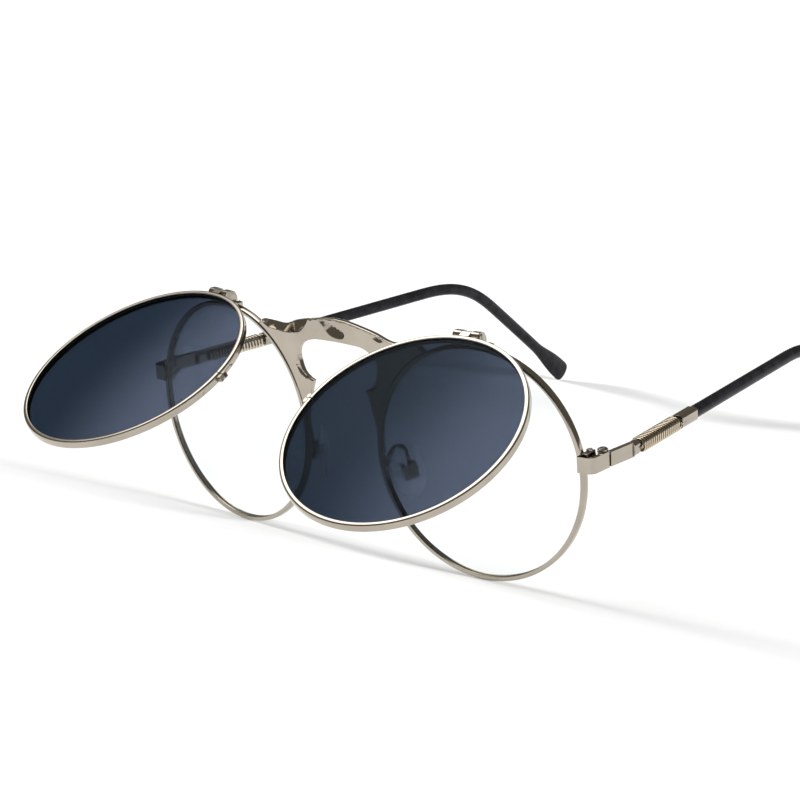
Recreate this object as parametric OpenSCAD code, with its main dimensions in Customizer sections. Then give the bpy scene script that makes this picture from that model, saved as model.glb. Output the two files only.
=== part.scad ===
// Flip up sunglasses with round metal rims, drawn as they stand on the rims and the temple tips.
// Millimetres, +Z up, +X to the viewer's right, lenses facing -Y.
// The origin lies on the ground under the middle of the glasses.
// Every paired part is drawn for the viewer's right and mirrored for the left.

/* [Stance] */
// Distance of the lens plane ahead of the origin
front_ahead = 45.91; // [30:0.01:60]
// Lean of the front, tops towards the viewer, in degrees
lean = 3.18; // [0:0.01:8]
// Distance between the two rim centres
rim_spacing = 69.5; // [64:0.5:76]
// Wrap of each rim towards the face, in degrees
wrap = 6.27; // [2:0.01:10]

/* [Rims] */
// Outer radius of a rim
rim_r = 25; // [22:0.5:28]
// Radial wall of every rim
rim_wall = 1; // [0.8:0.1:1.6]
// Front to back depth of a rim
rim_depth = 1.5; // [1.4:0.1:2.5]
// Depth of the V groove that holds the lens
groove_depth = 0.45; // [0.3:0.01:0.5]
// Half of the groove's mouth
groove_half = 0.5; // [0.3:0.01:0.55]
// Radius of the lens curve
lens_curve = 200; // [120:10:400]
// Edge thickness of a lens, inside its bevel
lens_edge = 1.1; // [0.9:0.05:1.1]
// Place of the rim slit above the level of the rim centre, in degrees
rim_slit_angle = 9.4; // [4:0.1:16]

/* [Flip rims] */
// Outer radius of a flip rim
flip_r = 25.5; // [22.5:0.5:28]
// Front to back depth of a flip rim
flip_depth = 1.7; // [1.4:0.1:2.5]
// Distance of a closed flip rim's middle in front of the rim's middle
flip_ahead = 1.85; // [1.7:0.05:3]
// Height of a closed flip rim's centre over the rim's centre
flip_up = 0.6; // [0:0.05:1.5]
// Opening of the flip rim on the viewer's left, in degrees
flip_open_left = 65.9; // [0:0.1:90]
// Opening of the flip rim on the viewer's right, in degrees
flip_open_right = 61.25; // [0:0.05:90]
// Place of the flip rim's slit, on the nose side, in degrees
flip_slit_angle = 171; // [165:1:176]

/* [Flip hinges] */
// Distance of the hinge axis in front of the rim's middle
flip_axis_ahead = 1.5; // [1.2:0.05:2]
// Height of the hinge axis over the rim's centre
flip_axis_up = 27.2; // [27:0.05:28]
// Radius of the knuckles
flip_knuckle_r = 0.92; // [0.8:0.01:1]
// Radius of the hinge pin
flip_pin_r = 0.45; // [0.3:0.01:0.55]
// Length of the middle knuckle
flip_middle = 2.2; // [1.6:0.1:3]
// Length over all three knuckles
flip_hinge_len = 6; // [5:0.1:7]
// Half angle of the saddle on the rim, in degrees
saddle_half = 10.6; // [8:0.1:14]

/* [Bridge] */
// Thickness of the bridge plate
bridge_t = 1.3; // [1:0.1:1.5]
// Distance of the plate's front in front of the rim centres
bridge_ahead = 3.25; // [3:0.05:3.5]

/* [End pieces and hinges] */
// Height of the end piece strip
end_h = 3.3; // [2.6:0.1:4]
// Thickness of the strip
end_t = 0.9; // [0.7:0.05:1]
// Height of the left strip's middle over the rim centres
end_up_left = 4.8; // [3:0.1:6]
// Height of the right strip's middle over the rim centres
end_up_right = 3.6; // [3:0.1:6]
// Distance of the strip's outer face from the middle of the glasses
end_out = 62.4; // [62:0.1:63]
// Outside radius of the strip's corner
end_corner = 1.6; // [1.2:0.1:2]
// Distance of the hinge axis behind the rim centres
temple_axis_back = 6.6; // [6.3:0.1:7]
// Radius of the hinge knuckles
temple_knuckle_r = 1.15; // [1:0.05:1.2]
// Radius of the hinge screw
hinge_screw_r = 0.5; // [0.4:0.05:0.6]

/* [Temples] */
// Inward slant of the temple behind the leaf, in degrees
temple_inward = 7.2; // [4:0.1:9]
// Rise of the temple towards the ear, in degrees
temple_rise = 2.72; // [0:0.1:4]
// Distance of the coil's axis from the middle of the glasses, at its front end
temple_out = 61.9; // [61.5:0.1:62.6]
// Height of the left coil's axis over the rim centres, at its front end
temple_up_left = 5.25; // [4:0.01:6]
// Height of the right coil's axis over the rim centres, at its front end
temple_up_right = 4.05; // [4:0.01:6]
// Distance of the leaf's rear end behind the rim centres
leaf_back = 14; // [12:0.1:16]
// Height of the leaf
leaf_h = 3; // [2.4:0.1:3.4]
// Thickness of the leaf
leaf_t = 1.1; // [0.9:0.1:1.2]
// Length of the rounded collar behind the leaf
collar_len = 2.3; // [1.5:0.1:3]
// Side of the square bar inside the coil
bar = 1.6; // [1.2:0.1:1.7]
// Length of the wound coil
coil_len = 17.2; // [16.8:0.1:20]
// Turns of the coil
coil_turns = 18; // [10:1:18]
// Thickness of the coil's wire
coil_wire = 0.45; // [0.3:0.01:0.45]
// Distance of the wire's middle from the coil's axis, at the flats
coil_r = 1.32; // [1.3:0.01:1.4]
// Length of the metal ferrule behind the coil
ferrule_len = 7; // [5:0.1:9]

/* [Ear tips] */
// Radius of the round sleeve
tip_r = 1.38; // [1.2:0.01:1.6]
// Straight length of the sleeve
tip_straight = 42; // [35:0.5:60]
// Length of the bend over the ear
tip_bend = 31; // [10:1:35]
// Length behind the bend
tip_run = 37; // [30:0.5:50]
// Downward turn of the left bend, which brings the end to the ground, in degrees
tip_drop_left = 40.52; // [25:0.01:45]
// Downward turn of the right bend, in degrees
tip_drop_right = 38.87; // [25:0.01:45]
// Further slow downward curve of the end, in degrees
tip_curl = 1; // [0:0.5:12]
// Outward turn of the bend, in degrees
tip_splay = 9.5; // [0:0.5:20]
// Height of the flared end, seen from the side
tip_end_h = 6.2; // [3:0.1:7]
// Thickness of the flared end, seen from above
tip_end_t = 2.5; // [2:0.1:3]

/* [Nose pads] */
// Place of a pad's centre: outward, back and up from the middle of the rim centres
pad_centre = [12, 3.2, -6.1];
// Height of a pad
pad_h = 13; // [10:0.5:15]
// Width of a pad
pad_w = 7.5; // [6:0.1:9]
// Thickness of a pad
pad_t = 2.1; // [1.6:0.1:2.6]
// Turn of the pad towards the nose, in degrees
pad_turn = 55; // [45:1:65]
// Forward slant of the pad's top, in degrees
pad_slant = 12.6; // [5:0.1:18]
// Lean of the pad's face up from its slant, in degrees
pad_lean = 2.6; // [0:0.1:6]
// Thickness of the wire arm
arm_wire = 1; // [0.8:0.05:1.1]

/* [Hidden] */
$fn = 64;
fine = 360;
eps = 0.01;
polished = "silver";
steel = "gray";
clear_tint = [0.85, 0.9, 0.92, 0.35];
dark_tint = [0.12, 0.13, 0.18, 0.6];
sleeve_black = [0.05, 0.05, 0.05];
pad_clear = [0.85, 0.85, 0.82];

// Height of the rim centres, with the leaning rims just touching the ground
front_up = rim_r * cos(lean) + rim_depth / 2 * sin(lean);
rim_in = rim_r - rim_wall;
flip_in = flip_r - rim_wall;
slit = 0.24;
// Blocks at the slits: how far they stand out, half their length, and their screws
rim_lock_w = 1.5;
rim_lock_h = 1.5;
rim_lock_screw_r = 0.4;
rim_lock_back = 2.4;
rim_lock_screw_y = 1.5;
flip_lock_w = 0.8;
flip_lock_h = 1.1;
flip_lock_screw_r = 0.2;
flip_lock_front = 0.35 - flip_depth / 2;
flip_lock_screw_y = (flip_lock_front + flip_depth / 2) / 2;
edge_cut = 0.15;
play = 0.05;
long_cut = 10;
face_gap = 0.08;
swing_gap = 0.1;
flip_outer = (flip_hinge_len - flip_middle) / 2 - face_gap;
knuckle_inset = 0.25;
temple_axis_out = end_out - temple_knuckle_r - knuckle_inset;
temple_middle = 1.1;
temple_outer = (end_h - temple_middle) / 2 - face_gap;
end_rear = temple_axis_back + 0.15;
end_gap = 0.3;
leaf_proud = 0.25;
leaf_droop = 1.9;
collar_neck = 0.15;
collar_w = 2.2;
collar_round = 0.9;
collar_neck_w = 2;
ferrule_w = 2.8;
ferrule_h = 2.9;
ferrule_round = 0.8;
ferrule_lip = 0.4;
coil_start = collar_len;
coil_end = coil_start + coil_len;
ferrule_end = coil_end + ferrule_len;
tip_len = tip_straight + tip_bend + tip_run;
tip_rings = 46;
tip_sides = 16;
core_in_tip = 80;
core_wire_r = 0.65;
core_lap = 3;
// Start of the tip's flare before its end, and length of the flare
flare_start = 16;
flare_len = 13;
pad_axis_back = 2.3;
pad_axis_up = 0.3;
pad_screw_r = 0.35;
pad_lug_r = 0.85;
pad_lug_w = 1.3;
pad_lug_h = 1.2;
pad_box_size = [3.2, 2.2, 3.2];
pad_box_back = 1.3;
// Start of the wire arm: distance from the rim's axis, behind the rim's middle, above its centre
arm_root_r = 24.6;
arm_root_back = 0.75;
arm_root_up = -4.9;
// Heads of the screws: radius and height
rim_lock_head = [0.7, 0.45];
flip_lock_head = [0.34, 0.2];
hinge_head = [1.1, 0.6];
flip_pin_head = [0.72, 0.4];
pad_head = [0.6, 0.3];

// Places and frames

module mirrored(side) {
    if (side > 0) children();
    else mirror([1, 0, 0]) children();
}

// Middle of the rim centres, leaning with the front
module front_frame() {
    translate([0, -front_ahead, front_up]) rotate([lean, 0, 0]) children();
}

// Centre of one rim, with its plane at y = 0
module rim_frame() {
    front_frame() translate([rim_spacing / 2, 0, 0]) rotate([0, 0, wrap]) children();
}

// Centre of one flip rim, swung up by the given angle
module flip_frame(open) {
    rim_frame() translate([0, -flip_axis_ahead, flip_axis_up]) rotate([-open, 0, 0])
        translate([0, flip_axis_ahead - flip_ahead, flip_up - flip_axis_up]) children();
}

// A value for one side of the glasses
function of_side(side, left, right) = side > 0 ? right : left;

// Front end of the coil's axis, with +Y along the temple
module temple_frame(side) {
    translate([temple_out, leaf_back - front_ahead,
        front_up + of_side(side, temple_up_left, temple_up_right)])
        rotate([temple_rise, 0, temple_inward]) children();
}

// Centre of one nose pad, with +X along its width and +Y towards the nose
module pad_frame() {
    front_frame() translate(pad_centre) rotate([0, 0, pad_turn]) rotate([-pad_lean, -pad_slant, 0])
        children();
}

// Plan place, outward and back from the middle of the rim centres, of a point in a rim's plan
function rim_to_front(x, y) =
    [rim_spacing / 2 + x * cos(wrap) - y * sin(wrap), x * sin(wrap) + y * cos(wrap)];

// Turns a shape drawn round Z to lie round Y, with its height pointing forwards
module about_y() {
    rotate([90, 0, 0]) children();
}

// Turns +X to the given angle above the level of a rim's centre
module at_angle(a) {
    rotate([0, -a, 0]) children();
}

// Lays a profile drawn in Y and Z along X
module along_x(length) {
    rotate([90, 0, 90]) translate([0, 0, -length / 2]) linear_extrude(length) children();
}

// Lays a profile drawn in X and Z backwards along Y
module along_y(length) {
    translate([0, length, 0]) rotate([90, 0, 0]) linear_extrude(length) children();
}

// Round space inside a rim's outer face
module rim_space(outer) {
    rotate([90, 0, 0]) cylinder(h = long_cut, r = outer, center = true, $fn = fine);
}

// Rounded rectangle
module rounded(w, h, r) {
    translate([r - w / 2, r - h / 2]) square([w - 2 * r, h - 2 * r]);
    for (x = [-1, 1]) translate([x * (w / 2 - r) - (x > 0 ? 0 : r), r - h / 2]) square([r, h - 2 * r]);
    for (z = [-1, 1]) translate([r - w / 2, z * (h / 2 - r) - (z > 0 ? 0 : r)]) square([w - 2 * r, r]);
    for (x = [-1, 1], z = [-1, 1]) translate([x * (w / 2 - r), z * (h / 2 - r)]) circle(r);
}

// A tube of triangles along a path. Each ring has its two half sizes and its first direction.
function unit(v) = v / norm(v);
function tangent(p, i) = unit(p[min(i + 1, len(p) - 1)] - p[max(i - 1, 0)]);
function across(p, i, side) = unit(side - (side * tangent(p, i)) * tangent(p, i));
function ring(p, i, side, a, b, n) =
    let (s = across(p, i, side), t = cross(tangent(p, i), s))
    [for (k = [0:n - 1]) p[i] + a * cos(360 * k / n) * s + b * sin(360 * k / n) * t];

module tube(p, sides, a, b, n) {
    last = len(p) - 1;
    points = [for (i = [0:last]) each ring(p, i, sides[i], a[i], b[i], n)];
    walls = [for (i = [0:last - 1], k = [0:n - 1])
        let (u = i * n + k, v = i * n + (k + 1) % n)
        each [[u, u + n, v], [v, u + n, v + n]]];
    front_cap = [for (k = [1:n - 2]) [0, k, k + 1]];
    back_cap = [for (k = [1:n - 2]) [last * n, last * n + k + 1, last * n + k]];
    polyhedron(points, concat(walls, front_cap, back_cap));
}

// Rims and lenses

// Rim section with small bevels outside and a V groove inside
module rim_section(outer, depth) {
    inner = outer - rim_wall;
    h = depth / 2;
    polygon([
        [outer - edge_cut, -h], [outer, edge_cut - h], [outer, h - edge_cut], [outer - edge_cut, h],
        [inner + edge_cut, h], [inner, h - edge_cut], [inner, groove_half],
        [inner + groove_depth, 0], [inner, -groove_half], [inner, edge_cut - h], [inner + edge_cut, -h]
    ]);
}

module slit_ring(outer, depth, angle) {
    difference() {
        about_y() rotate_extrude() rim_section(outer, depth);
        at_angle(angle) translate([outer - 2 * rim_wall, -depth, -slit / 2])
            cube([3 * rim_wall, 2 * depth, slit]);
    }
}

// Height of the lens's middle surface over the plane of its bevel
function lens_sag(r, edge) = sqrt(pow(lens_curve, 2) - r * r) - sqrt(pow(lens_curve, 2) - edge * edge);

module lens(inner) {
    steps = 12;
    h = lens_edge / 2;
    edge = inner - (h - groove_half) * groove_depth / groove_half;
    tip = inner + groove_depth - play;
    tip_h = groove_half * play / groove_depth;
    front = [for (i = [0:steps]) let (r = edge * i / steps) [r, lens_sag(r, edge) + h]];
    back = [for (i = [steps:-1:0]) let (r = edge * i / steps) [r, lens_sag(r, edge) - h]];
    about_y() rotate_extrude() polygon(concat(front, [[tip, tip_h], [tip, -tip_h]], back));
}

module rim(side) {
    color(polished) mirrored(side) rim_frame() slit_ring(rim_r, rim_depth, rim_slit_angle);
}

module clear_lens(side) {
    color(clear_tint) mirrored(side) rim_frame() lens(rim_in);
}

module flip_rim(side, open) {
    color(polished) mirrored(side) flip_frame(open) slit_ring(flip_r, flip_depth, flip_slit_angle);
}

module tinted_lens(side, open) {
    color(dark_tint) mirrored(side) flip_frame(open) lens(flip_in);
}

// Two blocks at a slit, bored for their screw
module lock_blocks(outer, w, h, y0, y1, screw_y, screw_r) {
    overlap = 0.3;
    difference() {
        for (up = [0, 1]) translate([outer - overlap, y0, up ? slit / 2 : -h])
            cube([w + overlap, y1 - y0, h - slit / 2]);
        rim_space(outer);
        translate([outer + w / 2, screw_y, -h - eps]) cylinder(h = h, r = screw_r);
        translate([outer + w / 2, screw_y, 0]) cylinder(h = h + eps, r = screw_r + play);
    }
}

module rim_lock(side) {
    color(steel) mirrored(side) rim_frame() at_angle(rim_slit_angle)
        lock_blocks(rim_r, rim_lock_w, rim_lock_h, -rim_depth / 2, rim_lock_back, rim_lock_screw_y,
            rim_lock_screw_r);
}

module flip_lock(side, open) {
    color(steel) mirrored(side) flip_frame(open) at_angle(flip_slit_angle)
        lock_blocks(flip_r, flip_lock_w, flip_lock_h, flip_lock_front, flip_depth / 2, flip_lock_screw_y,
            flip_lock_screw_r);
}

// Small screw that hangs from its slotted head at z = 0
module slotted_screw(shank_r, length, head) {
    head_r = head[0];
    head_h = head[1];
    difference() {
        union() {
            translate([0, 0, -length]) cylinder(h = length + eps, r = shank_r);
            cylinder(h = head_h * 0.6, r = head_r);
            translate([0, 0, head_h * 0.6]) cylinder(h = head_h * 0.4, r1 = head_r, r2 = head_r * 0.75);
        }
        translate([-2 * head_r, -head_r * 0.16, head_h * 0.45])
            cube([4 * head_r, head_r * 0.32, head_h]);
    }
}

module rim_lock_screw(side) {
    color(steel) mirrored(side) rim_frame() at_angle(rim_slit_angle)
        translate([rim_r + rim_lock_w / 2, rim_lock_screw_y, rim_lock_h])
            slotted_screw(rim_lock_screw_r, 2 * rim_lock_h - slit, rim_lock_head);
}

module flip_lock_screw(side, open) {
    color(steel) mirrored(side) flip_frame(open) at_angle(flip_slit_angle)
        translate([flip_r + flip_lock_w / 2, flip_lock_screw_y, flip_lock_h])
            slotted_screw(flip_lock_screw_r, 2 * flip_lock_h - slit, flip_lock_head);
}

// Bridge

// Half of the plate's outline, from the middle of the top edge round to the middle of the arch
module bridge_outline() {
    polygon([
        [0, 26.4], [3.3, 26.2], [7.4, 25.5], [11.5, 24.6], [15, 23.3], [19, 23.3], [22.8, 23.2],
        [23.6, 21], [18, 14], [12, 3], [9.8, 3.2], [9.5, 4.8], [8.7, 7.5], [8.1, 10], [7.3, 12],
        [8.4, 12.4], [10, 13.7], [10.9, 16.5], [10.9, 18], [10.3, 19.2], [9, 20.2], [6.9, 21],
        [4.2, 21.2], [0, 21.3]
    ]);
}

// The plate is flat in the middle and follows the wrap of the rims outside bend_out
module bridge() {
    bend_out = 12.1;
    bend_lap = 0.35;
    room = 30;
    wing = 15;
    color(polished) for (side = [1, -1]) mirrored(side) difference() {
        intersection() {
            front_frame() translate([0, -long_cut / 2, 0]) along_y(long_cut) bridge_outline();
            union() {
                front_frame() translate([0, -bridge_ahead, 0]) cube([bend_out, bridge_t, room]);
                rim_frame() translate([bend_out - rim_spacing / 2 - bend_lap, -rim_depth / 2, 0])
                    cube([wing, bridge_t, room]);
            }
        }
        rim_frame() rim_space(rim_r);
    }
}

// End pieces and temple hinges

// Plan of the strip: along the rim's face, round the corner and straight back
module endpiece_plan() {
    slope = tan(wrap);
    start = 24.05;
    root = rim_to_front(start, -rim_depth / 2);
    face = root + end_t * [sin(wrap), -cos(wrap)];
    mid_x = end_out - end_corner;
    mid_y = face[1] + (mid_x - face[0]) * slope + end_corner / cos(wrap);
    steps = 8;
    turn = [for (i = [0:steps]) wrap - 90 + (90 - wrap) * i / steps];
    outside = [for (a = turn) [mid_x, mid_y] + end_corner * [cos(a), sin(a)]];
    inside = [for (i = [steps:-1:0])
        [mid_x, mid_y] + (end_corner - end_t) * [cos(turn[i]), sin(turn[i])]];
    polygon(concat([face], outside, [[end_out, end_rear], [end_out - end_t, end_rear]], inside, [root]));
}

function end_up(side) = of_side(side, end_up_left, end_up_right);

module hinge_axis(side) {
    front_frame() translate([temple_axis_out, temple_axis_back, end_up(side)]) children();
}

module endpiece(side) {
    color(polished) mirrored(side) difference() {
        union() {
            front_frame() translate([0, 0, end_up(side) - end_h / 2])
                linear_extrude(end_h) endpiece_plan();
            hinge_axis(side) for (up = [-1, 1]) translate([0, 0, up * (end_h - temple_outer) / 2])
                cylinder(h = temple_outer, r = temple_knuckle_r, center = true);
        }
        hinge_axis(side) cylinder(h = end_h + 1, r = hinge_screw_r, center = true);
        hinge_axis(side) cylinder(h = temple_middle + 2 * face_gap, r = temple_knuckle_r + swing_gap,
            center = true);
    }
}

module hinge_screw(side) {
    color(steel) mirrored(side) hinge_axis(side) translate([0, 0, end_h / 2])
        slotted_screw(hinge_screw_r, end_h, hinge_head);
}

module temple_leaf(side) {
    leaf_front = end_rear + end_gap;
    leaf_lap = 2;
    color(polished) mirrored(side) difference() {
        union() {
            front_frame() translate([end_out - leaf_t + leaf_proud, leaf_front,
                end_up(side) - leaf_h / 2])
                rotate([-leaf_droop, 0, 0]) cube([leaf_t, leaf_back + leaf_lap - leaf_front, leaf_h]);
            hinge_axis(side) cylinder(h = temple_middle, r = temple_knuckle_r, center = true);
        }
        hinge_axis(side) cylinder(h = end_h + 1, r = hinge_screw_r + play, center = true);
        hinge_axis(side) for (up = [-1, 1])
            translate([0, 0, up * (temple_middle / 2 + 1)])
                cylinder(h = 2, r = temple_knuckle_r + swing_gap, center = true);
        temple_frame(side) translate([-long_cut / 2, 0, -long_cut / 2]) cube(long_cut);
    }
}

module temple_collar(side) {
    color(steel) mirrored(side) temple_frame(side) difference() {
        union() {
            along_y(collar_neck) rounded(collar_neck_w, leaf_h - 0.3, 0.3);
            translate([0, collar_neck, 0]) along_y(collar_len - collar_neck)
                rounded(collar_w, leaf_h, collar_round);
        }
        translate([-bar / 2, -eps, -bar / 2]) cube([bar, collar_len + 2 * eps, bar]);
    }
}

// Place of the coil's wire: angle round the axis and distance along it
function coil_radius(a) = coil_r / pow(pow(cos(a), 4) + pow(sin(a), 4), 0.25);
function coil_point(a, along) = [coil_radius(a) * cos(a), along, coil_radius(a) * sin(a)];
coil_corner = 0.3;
coil_pitch = (coil_len - 2 * (coil_wire + coil_corner)) / coil_turns;
corner_steps = [[0, 0], [0, coil_wire], for (t = [30, 60]) [1 - cos(t), coil_wire + coil_corner * sin(t)]];
// Degrees that the wire moves round the axis while it turns from straight to wound
corner_angle = coil_corner / coil_r * 180 / PI;
coil_places = concat(
    [for (c = corner_steps) [(c[0] - 1) * corner_angle, coil_start + c[1]]],
    [for (i = [0:8 * coil_turns])
        [45 * i, coil_start + coil_wire + coil_corner + coil_pitch * i / 8]],
    [for (i = [3:-1:0]) let (c = corner_steps[i])
        [360 * coil_turns + (1 - c[0]) * corner_angle, coil_end - c[1]]]
);
coil_path = [for (c = coil_places) coil_point(c[0], c[1])];
coil_outward = [for (c = coil_places) [cos(c[0]), 0, sin(c[0])]];
coil_gap = min([for (i = [0:len(coil_path) - 1], j = [i + 5:1:len(coil_path) - 1])
    norm(coil_path[i] - coil_path[j])]) - coil_wire;
echo(coil_least_gap = coil_gap, coil_turns = coil_turns, coil_pitch = coil_pitch);

module temple_coil(side) {
    half = [for (p = coil_path) coil_wire / 2];
    color(polished) mirrored(side) temple_frame(side) tube(coil_path, coil_outward, half, half, 6);
}

module temple_ferrule(side) {
    color(polished) mirrored(side) temple_frame(side) difference() {
        union() {
            translate([0, coil_end, 0]) along_y(ferrule_len - ferrule_lip)
                rounded(ferrule_w, ferrule_h, ferrule_round);
            translate([0, coil_end, 0]) along_y(ferrule_len)
                rounded(ferrule_w - 0.5, ferrule_h - 0.5, ferrule_round);
        }
        translate([-bar / 2, coil_end - 1, -bar / 2]) cube([bar, ferrule_len + 2, bar]);
    }
}

// Path of the ear tip from the ferrule's end
function smooth(t) = let (c = min(1, max(0, t))) c * c * (3 - 2 * c);
function tip_turn(u) = smooth((u - tip_straight) / tip_bend);
function tip_dir(u, drop) =
    let (down = drop * tip_turn(u) + tip_curl * min(1, max(0, (u - tip_len + tip_run) / tip_run)),
         out = tip_splay * tip_turn(u))
    [sin(out) * cos(down), cos(out) * cos(down), -sin(down)];
function path_from(start, step, count, drop) =
    [for (i = 0, p = start; i <= count; i = i + 1, p = p + step * tip_dir((i - 0.5) * step, drop)) p];
function tip_path(side) = path_from([0, ferrule_end, 0], tip_len / tip_rings, tip_rings,
    of_side(side, tip_drop_left, tip_drop_right));
tip_side = [for (i = [0:tip_rings]) [1, 0, 0]];
// Share of the flare at each ring, and the rounding of the last rings
tip_flare = [for (i = [0:tip_rings]) 
    smooth((i / tip_rings * tip_len - tip_len + flare_start) / flare_len)];
tip_close = [for (i = [0:tip_rings]) i == tip_rings ? 0.62 : 1];

module temple_tip(side) {
    a = [for (i = [0:tip_rings]) tip_close[i] * (tip_r + (tip_end_t / 2 - tip_r) * tip_flare[i])];
    b = [for (i = [0:tip_rings]) tip_close[i] * (tip_r + (tip_end_h / 2 - tip_r) * tip_flare[i])];
    color(sleeve_black) mirrored(side) temple_frame(side) tube(tip_path(side), tip_side, a, b, tip_sides);
}

// Square bar through collar, coil and ferrule, then a round wire inside the ear tip
module temple_core(side) {
    steps = floor(core_in_tip / tip_len * tip_rings);
    whole = tip_path(side);
    path = [for (i = [0:steps]) whole[i]];
    half = [for (p = path) core_wire_r];
    color(steel) mirrored(side) temple_frame(side) {
        translate([-bar / 2, 0, -bar / 2]) cube([bar, ferrule_end + core_lap, bar]);
        tube(path, tip_side, half, half, 8);
    }
}

// Flip hinges

module flip_mount(side) {
    reach = (flip_hinge_len + flip_middle) / 4 + face_gap / 2;
    foot_t = 0.55;
    bump_t = 0.9;
    bump_half = 2.6;
    color(polished) mirrored(side) rim_frame() difference() {
        union() {
            about_y() rotate([0, 0, 90 - saddle_half]) rotate_extrude(angle = 2 * saddle_half)
                translate([rim_r, -rim_depth / 2]) square([foot_t, rim_depth]);
            for (a = [90 - saddle_half, 90 + saddle_half - bump_half]) about_y() rotate([0, 0, a])
                rotate_extrude(angle = bump_half)
                    translate([rim_r, -rim_depth / 2]) square([bump_t, rim_depth]);
            for (x = [-reach, reach]) translate([x, 0, 0]) along_x(flip_outer) polygon([
                [0.7, rim_r - 0.5], [0.7, 26.6], [0.1, 27.7], [-0.6, 28.05],
                [-flip_axis_ahead, flip_axis_up + flip_knuckle_r - 0.02],
                [-flip_axis_ahead, 26.4], [-rim_depth / 2, 26.35], [-rim_depth / 2, rim_r - 0.5]
            ]);
            for (x = [-reach, reach]) translate([x, -flip_axis_ahead, flip_axis_up])
                rotate([0, 90, 0]) cylinder(h = flip_outer, r = flip_knuckle_r, center = true);
        }
        rim_space(rim_r);
        translate([0, -flip_axis_ahead, flip_axis_up]) rotate([0, 90, 0])
            cylinder(h = 10, r = flip_pin_r, center = true);
    }
}

module flip_pin(side) {
    color(steel) mirrored(side) rim_frame() translate([flip_hinge_len / 2, -flip_axis_ahead, flip_axis_up])
        rotate([0, 90, 0]) slotted_screw(flip_pin_r, flip_hinge_len, flip_pin_head);
}

module flip_knuckle(side, open) {
    axis_y = flip_ahead - flip_axis_ahead;
    axis_z = flip_axis_up - flip_up;
    color(polished) mirrored(side) flip_frame(open) difference() {
        union() {
            along_x(flip_middle) polygon([
                [-0.7, flip_r - 0.4], [axis_y - flip_knuckle_r, axis_z], [axis_y, axis_z],
                [0.75, 26.3], [0.7, flip_r - 0.4]
            ]);
            translate([0, axis_y, axis_z]) rotate([0, 90, 0])
                cylinder(h = flip_middle, r = flip_knuckle_r, center = true);
        }
        rim_space(flip_r);
        translate([0, axis_y, axis_z]) rotate([0, 90, 0])
            cylinder(h = 10, r = flip_pin_r + play, center = true);
    }
}

// Nose pads

// Wire arm: from the back of the rim up, over and down into the pad's box
function bezier(p, t) = pow(1 - t, 3) * p[0] + 3 * t * pow(1 - t, 2) * p[1]
    + 3 * t * t * (1 - t) * p[2] + pow(t, 3) * p[3];
arm_root = rim_to_front(-sqrt(pow(arm_root_r, 2) - pow(arm_root_up, 2)), arm_root_back);
arm_points = [
    [arm_root[0], arm_root[1], arm_root_up], [11.2, -0.6, 1.2], [14.2, 0.9, 1.8], [14.05, 1.77, -4.4]
];

module pad_arm(side) {
    steps = 18;
    path = [for (i = [0:steps]) bezier(arm_points, i / steps)];
    across_wire = [for (p = path) [-0.5, 0.85, 0]];
    half = [for (p = path) arm_wire / 2];
    color(polished) mirrored(side) front_frame() tube(path, across_wire, half, half, 10);
}

module pad_box(side) {
    w = pad_box_size[0];
    h = pad_box_size[2];
    color(polished) mirrored(side) pad_frame() translate([0, -pad_axis_back, pad_axis_up]) difference() {
        translate([-w / 2, -pad_box_back, -h / 2]) cube(pad_box_size);
        translate([-pad_lug_w / 2 - swing_gap, -pad_lug_r - swing_gap, -h])
            cube([pad_lug_w + 2 * swing_gap, long_cut, 2 * h]);
        rotate([0, 90, 0]) cylinder(h = 2 * w, r = pad_screw_r, center = true);
    }
}

module pad_screw(side) {
    color(steel) mirrored(side) pad_frame() translate([pad_box_size[0] / 2, -pad_axis_back, pad_axis_up])
        rotate([0, 90, 0]) slotted_screw(pad_screw_r, pad_box_size[0], pad_head);
}

// Pad: flat sections along its height, widest below the middle, with a moulded lug behind
module nose_pad(side) {
    rings = 12;
    heights = [for (i = [0:rings]) -cos(180 * i / rings)];
    path = [for (t = heights) [0, 0, t * pad_h / 2]];
    fat = [for (t = heights) max(0.08, pow(1 - t * t, 0.5))];
    a = [for (i = [0:rings]) pad_w / 2 * fat[i] * (1 - 0.12 * heights[i])];
    b = [for (i = [0:rings]) pad_t / 2 * max(0.3, fat[i])];
    sides = [for (p = path) [1, 0, 0]];
    color(pad_clear) mirrored(side) pad_frame() {
        tube(path, sides, a, b, 16);
        difference() {
            union() {
                translate([0, -pad_axis_back, pad_axis_up]) rotate([0, 90, 0])
                    cylinder(h = pad_lug_w, r = pad_lug_r, center = true);
                translate([-pad_lug_w / 2, -pad_axis_back, pad_axis_up - pad_lug_h / 2])
                    cube([pad_lug_w, pad_axis_back, pad_lug_h]);
            }
            translate([0, -pad_axis_back, pad_axis_up]) rotate([0, 90, 0])
                cylinder(h = 5, r = pad_screw_r + play, center = true);
        }
    }
}

rim(-1);  // rim_left
rim(1);  // rim_right
clear_lens(-1);  // clear_lens_left
clear_lens(1);  // clear_lens_right
rim_lock(-1);  // rim_lock_left
rim_lock(1);  // rim_lock_right
rim_lock_screw(-1);  // rim_lock_screw_left
rim_lock_screw(1);  // rim_lock_screw_right
bridge();
endpiece(-1);  // endpiece_left
endpiece(1);  // endpiece_right
hinge_screw(-1);  // hinge_screw_left
hinge_screw(1);  // hinge_screw_right
pad_arm(-1);  // pad_arm_left
pad_arm(1);  // pad_arm_right
pad_box(-1);  // pad_box_left
pad_box(1);  // pad_box_right
pad_screw(-1);  // pad_screw_left
pad_screw(1);  // pad_screw_right
nose_pad(-1);  // nose_pad_left
nose_pad(1);  // nose_pad_right
flip_mount(-1);  // flip_mount_left
flip_mount(1);  // flip_mount_right
flip_pin(-1);  // flip_pin_left
flip_pin(1);  // flip_pin_right
flip_rim(-1, flip_open_left);  // flip_rim_left
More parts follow.
